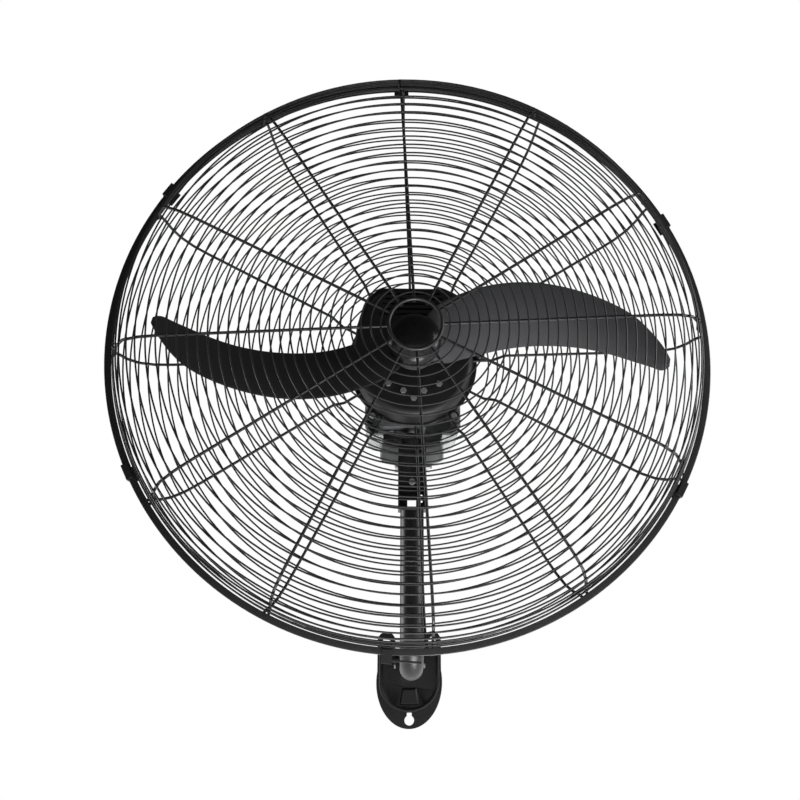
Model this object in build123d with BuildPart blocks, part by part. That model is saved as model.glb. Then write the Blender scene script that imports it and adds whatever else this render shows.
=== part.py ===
from build123d import *
import os
from math import cos, hypot, radians, sin

# Wall mounted fan: a one-metre caged head that swings and tilts on a bent tube arm.
# The wall is the plane Y = 0, the fan faces -Y, +Z is up, and the origin lies on the
# axis of the arm's horizontal stub, in the back face of the wall plate. Sizes in mm.

# ---- the whole fan
reach = 445.0  # wall face to the plane of the guard's hoop
rise = 525.0  # stub axis up to the fan axis
overhang = 180.0  # hoop plane back to the mast's axis
gap = 0.3  # between curved faces that only lie beside each other
fit = 0.05  # radial running fit of pins, studs and shafts
touch = 0.02  # between wires that are welded where they cross
cut_past = 20.0  # how far a through cut runs past its piece

# ---- wall plate
plate_half = 66.0
plate_sheet = 4.0
plate_belly_z = -32.0
plate_belly_drop = 88.5
ear_x = 46.0
ear_z = 48.0
ear_r = 18.0
ear_hole_r = 7.0
ear_notch_z = 26.0
lip_inset = 6.0
lip_height = 16.0
lip_width = 6.0
lip_belly_drop = 56.0
floor_height = 9.0
emboss_top = 28.0
emboss_bottom = 38.0
emboss_top_z = -44.0
emboss_bottom_z = -74.0
emboss_rise = 4.0
keyhole_z = -104.5
keyhole_r = 9.5
keyhole_slot = 9.6
keyhole_rise = 14.5

# ---- arm
tube_r = 21.0
tube_wall = 2.5
bend_r = 65.0
socket_flange_r = 41.0
socket_flange = 6.0
socket_flange_top = 15.0
socket_r = 27.0
socket_length = 42.0
socket_screw_inset = 12.0  # from the socket's rim
socket_screw_r = 3.0
socket_screw_head = 5.0

# ---- neck channel on the mast's top, and the tilt bolt
channel_low = -252.0  # from the fan axis
channel_top = -128.0
channel_gap = 44.0
channel_sheet = 3.0
channel_front = 22.0
channel_back = 24.0
web_top = -165.0
web_slot = (16.0, 19.0)
web_slot_z = -239.0
web_hole_r = 2.0
web_hole_x = 18.0
web_hole_z = (-221.0, -232.0)
tilt_z = -174.0
tilt_bolt_r = 5.0
tilt_head_r = 8.5
tilt_head = 6.4
tilt_nut = 8.0
tilt_bolt_tail = 3.0

# ---- neck block, which tilts
block_play = 0.3
block_half_y = 12.0
block_foot = 30.0  # below the tilt bolt
turret_r = 18.0
turret_flange_r = 25.0
turret_low = -122.0
turret_top = -114.0
turret_height = 12.0  # of its round part
stud_r = 7.0
bush_wall = 2.0
stud_depth = 48.0
washer_r = 12.0
washer_t = 1.6
lock_z = -202.0
lock_r = 4.0
lock_head_r = 6.5
lock_head = 5.3

# ---- crank and the slotted arm that it works in
swing = 38.0  # the head's swing each way, degrees
crank_x = 38.0  # crank axis, left of the mast's axis
crank_r = crank_x * sin(radians(swing))
crank_pin_r = 3.0
crank_slack = 1.5
crank_web = 5.0
crank_hub_r = 9.0
crank_tip_r = 5.5
yoke_half = 10.0
yoke_end = 8.0
crank_shaft_r = 5.0
crank_low = -111.0
crank_top = 8.0

# ---- shaft, motor and gearbox
shaft_r = 6.0
shaft_front = 44.0  # ahead of the hoop plane
shaft_back = -206.0
can_r = 67.0
can_wall = 3.0
can_back = -142.0
flange_front = -101.0
flange_t = 5.0
stator_front = -72.0
stator_back = -124.0
stator_bore = 36.0
air_gap = 0.6
slot_count = 12
slot_width = 7.0
slot_depth = 15.0
winding_overhang = 10.0
bearing_r = 16.0
bearing_width = 10.0
bearing_race = 3.0
bearing_dish = 0.6
bearing_boss_r = 24.0
worm_r = 8.0
worm_groove = 1.6
worm_pitch = 4.0
worm_half = 15.0
wheel_teeth = 40
wheel_width = 12.0
wheel_mesh_gap = 0.4
box_wall = 3.0
box_left = -73.0
box_right = 24.0
box_front = -146.0
box_back = -214.0
box_low = -104.0
box_high = 18.0
box_floor = 18.0
box_corner = 10.0
stud_seat = 14.0
shaft_bush_wall = 6.0
shaft_bush_length = 6.0
lid_t = 4.0
lid_screw_r = 3.2
lid_screw_head = 2.4
lid_screw_inset = 8.0

# ---- motor front cover
cover_front = -40.0
cover_back = -92.0
cover_wall = 3.5
cover_half = 103.0
cover_belly = -10.0
cover_shoulder = ((102.0, 20.0), (98.0, 52.0), (87.0, 91.0), (74.0, 110.0))
cover_top = 122.0
cover_top_half = 56.0
cover_round = 12.0
cover_nose = 8.0
louvre_count = 5
louvre_pitch = 9.5
louvre_first_z = 70.0
louvre_height = 3.0
louvre_width = 120.0
cover_bolts = ((-43.0, -56.5), (43.0, -56.5), (-17.5, -69.0), (17.5, -69.0), (0.0, -82.0))
cover_bolt_r = 3.0
cover_bolt_head_r = 5.5
cover_bolt_head = 3.5

# ---- guard ring on the motor's flange
ear_pcd_r = 120.5
ring_ear_r = 9.0
ear_overhang = 6.0  # the ears' centres beyond the ring's rim
ring_width = 14.0
ring_t = 2.6
ring_ears = (6.6, 54.0, 126.6, 186.6, 234.0, 306.6)
guard_screw_r = 3.0
guard_screw_head_r = 6.0
guard_screw_head = 3.6
guard_nut_r = 5.8
guard_nut = 5.0

# ---- guards and hoop
hoop_r = 500.0
hoop_half = 12.0
hoop_sheet = 1.6
hoop_front_lip = 11.0
hoop_rear_lip = 4.0
edge_wire_r = 2.5
edge_wire_y = 3.5
spoke_r = 2.4
ring_wire_r = 1.4
centre_wire_r = 3.0
wire_side_count = 8
spoke_count = 12
front_roll = 3.2  # first spoke, past the top
rear_roll = 2.2
ring_pitch = 15.6
centre_r = 42.0
spoke_bend_r = 9.0
# Corners of the spokes: inset from the hoop's outside, and depth ahead of its plane.
front_bends = ((18.5, 15.0), (30.0, 49.0), (48.0, 75.0), (74.0, 85.0), (105.0, 88.0))
front_depth = 88.0  # of the front spokes' inner ends
rear_bends = ((16.0, -13.0), (22.0, -36.0), (35.0, -57.0), (58.0, -69.0), (88.0, -72.0))
rear_depth = -72.0  # of the rear guard's face
rear_dip = 47.0  # outside the guard ring the rear spokes start to dip back to it
rear_flat = 27.0  # and here they lie flat
rear_tail = 10.0  # and end this far inside its rim
front_side_count = 5  # front rings that stand on the guard's side wall
rear_side_count = 5
clip_angles = (27.6, 92.6, 147.2, 206.2, 330.1)
clip_length = 26.0
clip_sheet = 2.0
clip_half = 15.5
clip_grip = 9.0  # how far it reaches down the hoop's sides
latch_angle = 265.2
latch_sweep = 6.0
latch_t = 3.0
latch_half = 8.0
latch_rivet_r = 2.5
latch_eye_wall = 2.2
latch_cheek = 12.0
latch_pin_rise = 7.2

# ---- propeller
hub_r = 38.0
hub_front = 17.0
hub_back = -26.0
insert_r = 14.0
insert_back = -32.0
blade_t = 3.6
blade_edge = 1.6
blade_camber = 0.07
cap_r = 44.5
cap_base = 15.0
cap_band = 6.0
cap_height = 33.0
cap_wall = 2.2
# Stations: radius, the upper edge's angle and depth, the lower edge's angle and depth.
blade_stations = (
    (34.0, 66.0, -16.0, -40.0, 18.0),
    (52.0, 63.5, -20.0, -30.0, 22.0),
    (72.0, 58.5, -22.0, -17.0, 26.0),
    (100.0, 50.0, -23.2, -6.3, 30.5),
    (140.0, 41.2, -24.0, 0.2, 33.0),
    (180.0, 34.4, -24.4, 2.2, 30.5),
    (220.0, 28.3, -24.5, 2.2, 26.5),
    (260.0, 22.5, -24.1, 1.3, 21.8),
    (300.0, 17.0, -23.4, -0.2, 16.4),
    (340.0, 11.8, -22.3, -2.2, 10.6),
    (380.0, 6.2, -20.8, -4.3, 4.5),
    (408.0, 1.0, -19.4, -5.6, -0.4),
    (424.0, -2.3, -17.5, -5.8, -4.5),
    (430.0, -3.6, -14.5, -5.2, -9.0),
)

# ---- rear cover
hood_r = 84.0
hood_wall = 3.0
hood_back = -252.0
hood_low = -130.0
hood_corner = 20.0
hood_round = 16.0
hood_mouth = 52.0
hood_mouth_back = 8.0
skirt_r = 58.0
skirt_low = -158.0
knob_rod_r = 3.0
knob_r = 10.0
knob_height = 16.0
knob_travel = 6.0
capacitor = (50.0, 26.0, 34.0)
grommet_r = 9.0
grommet_z = -60.0
grommet_hole_r = 4.0

# ---- worked out from the sizes above
ring_out = ear_pcd_r - ear_overhang
ring_in = ring_out - ring_width
mast_y = overhang - reach
can_front = cover_front - cover_wall - touch
hood_front = flange_front - flange_t - touch
fan_point = (0.0, -reach, rise)
FAN = Plane(origin=fan_point, x_dir=(1, 0, 0), z_dir=(0, -1, 0))
FAN_SECTION = Plane(origin=fan_point, x_dir=(1, 0, 0), z_dir=(0, 0, -1))
fan_axis = Axis(fan_point, (0, -1, 0))
WALL = Plane(origin=(0, 0, 0), x_dir=(1, 0, 0), z_dir=(0, -1, 0))


def level(z):
    """Horizontal plane at a height from the fan axis, centred on the mast's axis."""
    return Plane(origin=(0, mast_y, rise + z), x_dir=(1, 0, 0), z_dir=(0, 0, 1))


def sideways(x, z):
    """Plane facing +X, centred on the mast's axis at a height from the fan axis."""
    return Plane(origin=(x, mast_y, rise + z), x_dir=(0, 1, 0), z_dir=(1, 0, 0))


def clock(angle):
    """Section plane through the fan axis: local X is outward at the angle, local Y is forward."""
    out = Vector(cos(radians(angle)), 0, sin(radians(angle)))
    return Plane(origin=fan_point, x_dir=out, z_dir=out.cross(Vector(0, -1, 0)))


def plate_body(inset):
    """Outline of the wall plate's raised body, drawn in from the plate's own outline."""
    top = ear_notch_z + lip_inset - 2 - inset
    with BuildSketch() as outline:
        with Locations((0, plate_belly_z)):
            Ellipse(plate_half - inset, lip_belly_drop + lip_inset - inset)
        with Locations((0, (plate_belly_z + top) / 2)):
            Rectangle(2 * (plate_half - inset), top - plate_belly_z)
        with Locations((0, top + plate_half)):
            Rectangle(4 * plate_half, 2 * plate_half, mode=Mode.SUBTRACT)
    return outline.sketch


# ==== wall arm ==================================================================
emboss_y = floor_height + emboss_rise
with BuildPart() as wall_plate:
    with BuildSketch(WALL):
        with Locations((0, plate_belly_z)):
            Ellipse(plate_half, plate_belly_drop)
        with Locations((0, (plate_belly_z + ear_z) / 2)):
            Rectangle(2 * (ear_x + ear_r), ear_z - plate_belly_z)
        with Locations((-ear_x, ear_z), (ear_x, ear_z)):
            Circle(ear_r)
        with Locations((0, ear_notch_z + plate_half)):
            Rectangle(2 * (ear_x - ear_r), 2 * plate_half, mode=Mode.SUBTRACT)
        with Locations((-ear_x, ear_z), (ear_x, ear_z)):
            Circle(ear_hole_r, mode=Mode.SUBTRACT)
        with Locations((0, keyhole_z)):
            Circle(keyhole_r, mode=Mode.SUBTRACT)
        with Locations((0, keyhole_z + keyhole_rise / 2)):
            Rectangle(keyhole_slot, keyhole_rise, mode=Mode.SUBTRACT)
    extrude(amount=plate_sheet)
    # raised body with its lip, hollow behind
    with BuildSketch(WALL):
        add(plate_body(lip_inset))
    extrude(amount=lip_height)
    with BuildSketch(WALL.offset(floor_height)):
        add(plate_body(lip_inset + lip_width))
        with Locations((0, plate_half / 2)):
            Rectangle(2 * socket_flange_r + 2, plate_half)
    extrude(amount=lip_height, mode=Mode.SUBTRACT)
    with BuildSketch(WALL):
        add(plate_body(lip_inset + plate_sheet))
        Circle(socket_r, mode=Mode.SUBTRACT)
    extrude(amount=floor_height - plate_sheet, mode=Mode.SUBTRACT)
    with BuildSketch(WALL.offset(floor_height)):
        Polygon(
            (-emboss_top / 2, emboss_top_z),
            (emboss_top / 2, emboss_top_z),
            (emboss_bottom / 2, emboss_bottom_z),
            (-emboss_bottom / 2, emboss_bottom_z),
            align=None,
        )
    extrude(amount=emboss_rise)
    emboss_face = wall_plate.faces().filter_by_position(Axis.Y, -emboss_y - fit, fit - emboss_y)
    chamfer(emboss_face.edges(), emboss_rise / 2)

socket_face = floor_height + touch
socket_screw_y = socket_screw_inset - socket_face - socket_length
with BuildPart() as arm_socket:
    with BuildSketch(WALL.offset(socket_face)):
        Circle(socket_flange_r)
        with Locations((0, socket_flange_top + socket_flange_r)):
            Rectangle(3 * socket_flange_r, 2 * socket_flange_r, mode=Mode.SUBTRACT)
    extrude(amount=socket_flange)
    with BuildSketch(WALL.offset(socket_face)):
        Circle(socket_r)
    extrude(amount=socket_length)
    with BuildSketch(WALL.offset(socket_face)):
        Circle(tube_r + fit)
    extrude(amount=socket_length, mode=Mode.SUBTRACT)
    with Locations(Plane(origin=(0, socket_screw_y, 0), z_dir=(1, 0, 0))):
        Cylinder(socket_screw_r + fit, 4 * socket_r, mode=Mode.SUBTRACT)

with BuildPart() as arm_tube:
    mast_top = rise + channel_low
    with BuildLine(Plane.YZ) as arm_path:
        FilletPolyline((-socket_face, 0), (mast_y, 0), (mast_y, mast_top), radius=bend_r)
    with BuildSketch(Plane(origin=(0, -socket_face, 0), x_dir=(1, 0, 0), z_dir=(0, -1, 0))):
        Circle(tube_r)
        Circle(tube_r - tube_wall, mode=Mode.SUBTRACT)
    sweep()

with BuildPart() as socket_screws:
    for side in (-1, 1):
        face = Plane(origin=(side * (tube_r + fit), socket_screw_y, 0), z_dir=(side, 0, 0))
        with BuildSketch(face):
            Circle(socket_screw_r)
        extrude(amount=socket_r - tube_r)
        with BuildSketch(face.offset(socket_r - tube_r)):
            RegularPolygon(socket_screw_head, 6)
        extrude(amount=socket_screw_head * 0.7)

cheek_x = channel_gap / 2
with BuildPart() as neck_channel:
    with BuildSketch(level(channel_low)):
        with Locations((0, (channel_back - channel_front) / 2)):
            Rectangle(channel_gap + 2 * channel_sheet, channel_front + channel_back)
    extrude(amount=channel_top - channel_low)
    with BuildSketch(level(channel_low + channel_sheet)):
        with Locations((0, (channel_back - channel_sheet - channel_front) / 2 - 5)):
            Rectangle(channel_gap, channel_front + channel_back - channel_sheet + 10)
    extrude(amount=channel_top - channel_low, mode=Mode.SUBTRACT)
    with BuildSketch(level(web_top)):
        with Locations((0, channel_back)):
            Rectangle(channel_gap, 3 * channel_sheet)
    extrude(amount=channel_top - web_top, mode=Mode.SUBTRACT)
    with BuildSketch(sideways(-2 * cheek_x, 0)):
        with Locations((0, channel_top)):
            Rectangle(4 * cheek_x, channel_front)
        with Locations(((channel_back - channel_front) / 2, channel_top - channel_front / 2)):
            Ellipse((channel_front + channel_back) / 2, channel_front / 2, mode=Mode.SUBTRACT)
    extrude(amount=4 * cheek_x, mode=Mode.SUBTRACT)
    with Locations(sideways(0, tilt_z)):
        Cylinder(tilt_bolt_r + fit, 4 * cheek_x, mode=Mode.SUBTRACT)
    web_face = Plane(origin=(0, mast_y + channel_back + 5, rise), x_dir=(1, 0, 0), z_dir=(0, -1, 0))
    with BuildSketch(web_face):
        with Locations((0, web_slot_z)):
            Rectangle(*web_slot)
        with Locations(*[(web_hole_x, z) for z in web_hole_z]):
            Circle(web_hole_r)
    extrude(amount=5 + 2 * channel_sheet, mode=Mode.SUBTRACT)

outer_x = cheek_x + channel_sheet
with BuildPart() as tilt_bolt:
    with BuildSketch(sideways(-outer_x, tilt_z)):
        Circle(tilt_bolt_r)
    extrude(amount=2 * outer_x + tilt_nut + tilt_bolt_tail)
    with BuildSketch(sideways(-outer_x - touch, tilt_z)):
        RegularPolygon(tilt_head_r, 6)
    extrude(amount=-tilt_head)
    with BuildSketch(sideways(-outer_x - touch, tilt_z)):
        Circle(tilt_bolt_r)
    extrude(amount=touch)

with BuildPart() as tilt_nut_part:
    with BuildSketch(sideways(outer_x, tilt_z)):
        RegularPolygon(tilt_head_r, 6)
        Circle(tilt_bolt_r + touch, mode=Mode.SUBTRACT)
    extrude(amount=tilt_nut)

# ==== neck, which tilts on the bolt ===============================================
pin_half = crank_pin_r + crank_slack
slot_far = crank_x + crank_r
slot_near = crank_x * cos(radians(swing)) + crank_r * cos(radians(90 - swing)) - 8.0
with BuildPart() as neck_block:
    with BuildSketch(level(tilt_z - block_foot)):
        Rectangle(channel_gap - 2 * block_play, 2 * block_half_y)
    extrude(amount=turret_low - turret_height - tilt_z + block_foot)
    with BuildSketch(level(turret_low - turret_height)):
        Circle(turret_r)
    extrude(amount=turret_height)
    with BuildSketch(level(turret_low)):
        Circle(turret_flange_r)
        with Locations((-(slot_far + yoke_end + pin_half) / 2, 0)):
            RectangleRounded(slot_far + yoke_end + pin_half, 2 * yoke_half, yoke_half - 1)
        with Locations((-(slot_far + slot_near) / 2, 0)):
            SlotOverall(slot_far - slot_near + 2 * pin_half, 2 * pin_half, mode=Mode.SUBTRACT)
    extrude(amount=turret_top - turret_low)
    with BuildSketch(level(turret_top)):
        Circle(stud_r + bush_wall)
    extrude(amount=-stud_depth - 1, mode=Mode.SUBTRACT)
    with Locations(sideways(0, tilt_z)):
        Cylinder(tilt_bolt_r + fit, 3 * cheek_x, mode=Mode.SUBTRACT)
    lock_face = Plane(origin=(0, mast_y - block_half_y, rise + lock_z), z_dir=(0, -1, 0))
    with Locations(lock_face):
        Hole(lock_r, depth=block_half_y + 4)
    top_edges = neck_block.faces().filter_by(Axis.Z).sort_by(Axis.Z)[-1].outer_wire().edges()
    fillet(top_edges, 1.0)

with BuildPart() as neck_bush:
    with BuildSketch(level(turret_top)):
        Circle(stud_r + bush_wall)
        Circle(stud_r + fit, mode=Mode.SUBTRACT)
    extrude(amount=-stud_depth)

with BuildPart() as thrust_washer:
    with BuildSketch(level(turret_top)):
        Circle(washer_r)
        Circle(stud_r + gap, mode=Mode.SUBTRACT)
    extrude(amount=washer_t)

with BuildPart() as tilt_lock_screw:
    with BuildSketch(lock_face):
        Circle(lock_r)
    extrude(amount=-block_half_y - 3)
    with BuildSketch(lock_face):
        RegularPolygon(lock_head_r, 6)
    extrude(amount=lock_head)

# ==== head: pivot, gearbox and motor ================================================
seat = turret_top + washer_t + gap
with BuildPart() as pivot_stud:
    with BuildSketch(level(box_low)):
        Circle(stud_r)
    extrude(amount=turret_top - stud_depth + 1 - box_low)
    with BuildSketch(level(seat)):
        Circle(stud_r + 1.2)
    extrude(amount=box_low - seat)
    with BuildSketch(level(box_low)):
        Circle(stud_r)
    extrude(amount=stud_seat)

crank_point = (-crank_x, 0)
with BuildPart() as gearbox_housing:
    box_mid = ((box_left + box_right) / 2, -(box_front + box_back) / 2 - overhang)
    with BuildSketch(level(box_low)):
        with Locations(box_mid):
            RectangleRounded(box_right - box_left, box_front - box_back, box_corner)
    extrude(amount=box_high - box_low)
    with BuildSketch(level(box_low + box_floor)):
        with Locations(box_mid):
            RectangleRounded(
                box_right - box_left - 2 * box_wall,
                box_front - box_back - 2 * box_wall,
                box_corner - box_wall,
            )
    extrude(amount=box_high - box_low, mode=Mode.SUBTRACT)
    with BuildSketch(level(box_low)):
        Circle(stud_r)
    extrude(amount=stud_seat, mode=Mode.SUBTRACT)
    with BuildSketch(level(box_low)):
        with Locations(crank_point):
            Circle(crank_shaft_r + fit)
    extrude(amount=cut_past, mode=Mode.SUBTRACT)
    with BuildSketch(FAN.offset(box_front + box_wall)):
        Circle(shaft_r + shaft_bush_wall)
    extrude(amount=box_back - box_front - 2 * box_wall, mode=Mode.SUBTRACT)

with BuildPart() as shaft_bush:
    with BuildSketch(FAN.offset(box_back)):
        Circle(shaft_r + shaft_bush_wall)
    extrude(amount=box_wall)
    with BuildSketch(FAN.offset(box_back + box_wall + shaft_bush_length)):
        Circle(shaft_r + shaft_bush_wall)
        Circle(shaft_r + fit, mode=Mode.SUBTRACT)
    extrude(amount=-shaft_bush_length)

with BuildPart() as gearbox_lid:
    with BuildSketch(level(box_high)):
        with Locations(box_mid):
            RectangleRounded(box_right - box_left, box_front - box_back, box_corner)
        with Locations(crank_point):
            Circle(knob_rod_r + gap, mode=Mode.SUBTRACT)
    extrude(amount=lid_t)
    fillet(gearbox_lid.faces().sort_by(Axis.Z)[-1].outer_wire().edges(), 1.5)

with BuildPart() as lid_screws:
    lid_corner_x = (box_right - box_left) / 2 - lid_screw_inset
    lid_corner_y = (box_front - box_back) / 2 - lid_screw_inset
    with BuildSketch(level(box_high + lid_t)):
        with Locations(box_mid):
            with GridLocations(2 * lid_corner_x, 2 * lid_corner_y, 2, 2):
                Circle(lid_screw_r)
    extrude(amount=lid_screw_head)

with BuildPart() as motor_can:
    with BuildSketch(FAN.offset(can_back)):
        Circle(can_r)
        Circle(can_r - can_wall, mode=Mode.SUBTRACT)
    extrude(amount=can_front - can_back)
    with BuildSketch(FAN.offset(flange_front)):
        Circle(ring_out)
        for angle in ring_ears:
            turn = radians(angle)
            with Locations((ear_pcd_r * cos(turn), ear_pcd_r * sin(turn))):
                Circle(ring_ear_r)
        Circle(can_r - 1, mode=Mode.SUBTRACT)
        for angle in ring_ears:
            turn = radians(angle)
            with Locations((ear_pcd_r * cos(turn), ear_pcd_r * sin(turn))):
                Circle(guard_screw_r + touch, mode=Mode.SUBTRACT)
    extrude(amount=-flange_t)

with BuildPart() as rear_shield:
    with BuildSketch(FAN.offset(can_back)):
        Circle(can_r)
        Circle(bearing_r, mode=Mode.SUBTRACT)
    extrude(amount=box_front - can_back)
    with BuildSketch(FAN.offset(can_back)):
        Circle(bearing_boss_r)
        Circle(bearing_r, mode=Mode.SUBTRACT)
    extrude(amount=bearing_width)

stator_r = can_r - can_wall
with BuildPart() as stator_core:
    with BuildSketch(FAN.offset(stator_back)):
        Circle(stator_r)
        Circle(stator_bore, mode=Mode.SUBTRACT)
        with PolarLocations(stator_bore + 3 + slot_depth / 2, slot_count):
            Rectangle(slot_depth, slot_width, mode=Mode.SUBTRACT)
    extrude(amount=stator_front - stator_back)

with BuildPart() as stator_winding:
    coil_in = stator_bore + 3 + touch
    coil_out = stator_bore + 3 + slot_depth - touch
    for start, length in ((stator_front, winding_overhang), (stator_back, -winding_overhang)):
        with BuildSketch(FAN.offset(start)):
            Circle(coil_out)
            Circle(coil_in, mode=Mode.SUBTRACT)
        extrude(amount=length)
    with BuildSketch(FAN.offset(stator_back)):
        with PolarLocations((coil_in + coil_out) / 2, slot_count):
            Rectangle(coil_out - coil_in - 1, slot_width - 2 * touch)
    extrude(amount=stator_front - stator_back)

front_bearing_back = cover_front - cover_wall - bearing_width
bearings = {"front_bearing": front_bearing_back, "rear_bearing": can_back}
bearing_parts = {}
for name, back in bearings.items():
    with BuildPart() as bearing:
        with BuildSketch(FAN.offset(back)):
            Circle(bearing_r)
            Circle(shaft_r + fit, mode=Mode.SUBTRACT)
        extrude(amount=bearing_width)
        for end in (back, back + bearing_width - bearing_dish):
            with BuildSketch(FAN.offset(end)):
                Circle(bearing_r - bearing_race)
                Circle(shaft_r + bearing_race, mode=Mode.SUBTRACT)
            extrude(amount=bearing_dish, mode=Mode.SUBTRACT)
    bearing_parts[name] = bearing

# ==== motor front cover ==============================================================
with BuildSketch() as cover_outline:
    with BuildLine():
        right = [(cover_half, cover_belly), *cover_shoulder, (cover_top_half, cover_top)]
        left = [(-x, z) for x, z in reversed(right)]
        Polyline(*right, *left)
        ThreePointArc(left[-1], (0, cover_belly - cover_half), right[0])
    make_face()
    fillet(cover_outline.vertices().sort_by(Axis.Y)[-4:], 8)

with BuildPart() as motor_front_cover:
    with BuildSketch(FAN.offset(cover_back)):
        add(cover_outline.sketch)
    extrude(amount=cover_front - cover_back)
    fillet(motor_front_cover.faces().sort_by(Axis.Y)[0].outer_wire().edges(), cover_round)
    with BuildSketch(FAN.offset(cover_back)):
        add(cover_outline.sketch)
        offset(amount=-cover_wall)
    extrude(amount=cover_front - cover_back - cover_round, mode=Mode.SUBTRACT)
    with BuildSketch(FAN.offset(cover_front - cover_round)):
        Circle(can_r + 4)
    extrude(amount=cover_round - cover_wall, mode=Mode.SUBTRACT)
    with BuildSketch(FAN.offset(front_bearing_back)):
        Circle(bearing_boss_r)
    extrude(amount=cover_front + cover_nose - front_bearing_back, taper=8)
    with BuildSketch(FAN.offset(front_bearing_back)):
        Circle(bearing_r)
    extrude(amount=bearing_width, mode=Mode.SUBTRACT)
    with BuildSketch(FAN.offset(cover_back)):
        Circle(shaft_r + 2)
    extrude(amount=2 * cover_front - 2 * cover_back, mode=Mode.SUBTRACT)
    with BuildSketch(FAN.offset(cover_front)):
        for step in range(louvre_count):
            with Locations((0, louvre_first_z + step * louvre_pitch)):
                SlotOverall(louvre_width - 6 * step, louvre_height)
    extrude(amount=cover_front - cover_back, both=True, mode=Mode.SUBTRACT)
    with BuildSketch(FAN.offset(cover_front)):
        with Locations(*cover_bolts):
            Circle(cover_bolt_r)
    extrude(amount=-cover_round - 2, mode=Mode.SUBTRACT)

with BuildPart() as front_cover_screws:
    with BuildSketch(FAN.offset(cover_front)):
        with Locations(*cover_bolts):
            RegularPolygon(cover_bolt_head_r, 6)
    extrude(amount=cover_bolt_head)
    with BuildSketch(FAN.offset(cover_front)):
        with Locations(*cover_bolts):
            Circle(cover_bolt_r)
    extrude(amount=-cover_round - 1)

# ==== rear cover ==================================================================
with BuildSketch() as hood_outline:
    with BuildLine():
        Polyline((-hood_r, 0), (-hood_r, hood_low), (hood_r, hood_low), (hood_r, 0))
        ThreePointArc((hood_r, 0), (0, hood_r), (-hood_r, 0))
    make_face()
    fillet(hood_outline.vertices().sort_by(Axis.Y)[:2], hood_corner)


def hood_shell(inset):
    """The hood and its skirt as a solid, drawn in from their outside by a wall's thickness."""
    with BuildPart() as shell:
        with BuildSketch(FAN.offset(hood_back + inset)):
            add(hood_outline.sketch)
            if inset:
                offset(amount=-inset)
        extrude(amount=hood_front - hood_back)
        fillet(shell.faces().sort_by(Axis.Y)[-1].outer_wire().edges(), hood_round - inset)
        with BuildSketch(level(skirt_low - inset)):
            Circle(skirt_r - inset)
        extrude(amount=hood_low - skirt_low + hood_corner + inset)
    return shell.part


with BuildPart() as rear_cover:
    add(hood_shell(0))
    add(hood_shell(hood_wall), mode=Mode.SUBTRACT)
    with BuildSketch(FAN.offset(hood_front)):
        Rectangle(4 * hood_r, 6 * hood_r)
    extrude(amount=hood_r, mode=Mode.SUBTRACT)
    with BuildSketch(level(skirt_low)):
        with Locations((0, -skirt_r - hood_mouth_back)):
            Rectangle(3 * skirt_r, 2 * skirt_r)
    extrude(amount=hood_low - skirt_low, mode=Mode.SUBTRACT)
    with BuildSketch(level(hood_low)):
        with Locations((0, -skirt_r)):
            Rectangle(2 * hood_mouth, 2 * skirt_r)
    extrude(amount=hood_wall, mode=Mode.SUBTRACT)
    with BuildSketch(level(0)):
        with Locations(crank_point):
            Circle(knob_rod_r + gap)
    extrude(amount=2 * hood_r, mode=Mode.SUBTRACT)
    with BuildSketch(FAN.offset(hood_back + hood_wall)):
        with Locations((0, grommet_z)):
            Circle(grommet_r)
    extrude(amount=-3 * hood_wall, mode=Mode.SUBTRACT)

with BuildPart() as lead_grommet:
    with BuildSketch(FAN.offset(hood_back + hood_wall)):
        with Locations((0, grommet_z)):
            Circle(grommet_r - touch)
            Circle(grommet_hole_r, mode=Mode.SUBTRACT)
    extrude(amount=-hood_wall)
    for face in (FAN.offset(hood_back), FAN.offset(hood_back + hood_wall + 2.5)):
        with BuildSketch(face):
            with Locations((0, grommet_z)):
                Circle(grommet_r + 2.5)
                Circle(grommet_hole_r, mode=Mode.SUBTRACT)
        extrude(amount=-2.5)

with BuildPart() as run_capacitor:
    with BuildSketch(level(box_high + lid_t)):
        with Locations((-5, 0)):
            RectangleRounded(capacitor[1], capacitor[0], 4)
    extrude(amount=capacitor[2])

# ==== crank, worm wheel and clutch ==============================================
crank_tip = -crank_x - crank_r
with BuildPart() as crank:
    with BuildSketch(level(crank_low)):
        with Locations(crank_point):
            Circle(crank_hub_r)
        with Locations((crank_tip, 0)):
            Circle(crank_tip_r)
        with Locations(((crank_tip - crank_x) / 2, 0)):
            Rectangle(crank_r, 2 * crank_tip_r)
    extrude(amount=crank_web)
    with BuildSketch(level(crank_low)):
        with Locations((crank_tip, 0)):
            Circle(crank_pin_r)
    extrude(amount=turret_low - crank_low)
    with BuildSketch(level(crank_low)):
        with Locations(crank_point):
            Circle(crank_shaft_r)
    extrude(amount=crank_top - crank_low)

wheel_pitch_r = crank_x - worm_r - wheel_mesh_gap
with BuildPart() as worm_wheel:
    with BuildSketch(level(-wheel_width / 2)):
        with Locations(crank_point):
            Circle(wheel_pitch_r - 1.6)
            with PolarLocations(wheel_pitch_r - 1.4, wheel_teeth):
                Rectangle(2.8, 2.0)
            Circle(crank_shaft_r + fit, mode=Mode.SUBTRACT)
    extrude(amount=wheel_width)

with BuildPart() as clutch_knob:
    rod_low = crank_top + knob_travel + gap
    knob_low = hood_r + knob_travel / 2
    with BuildSketch(level(rod_low)):
        with Locations(crank_point):
            Circle(knob_rod_r)
    extrude(amount=knob_low - rod_low)
    with BuildSketch(level(knob_low)):
        with Locations(crank_point):
            Circle(knob_r)
    extrude(amount=knob_height)
    fillet(clutch_knob.faces().sort_by(Axis.Z)[-1].edges(), 2.5)

# ==== shaft and rotor ============================================================
with BuildPart() as motor_shaft:
    with BuildSketch(FAN.offset(shaft_back)):
        Circle(shaft_r)
    extrude(amount=shaft_front - shaft_back)

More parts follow.
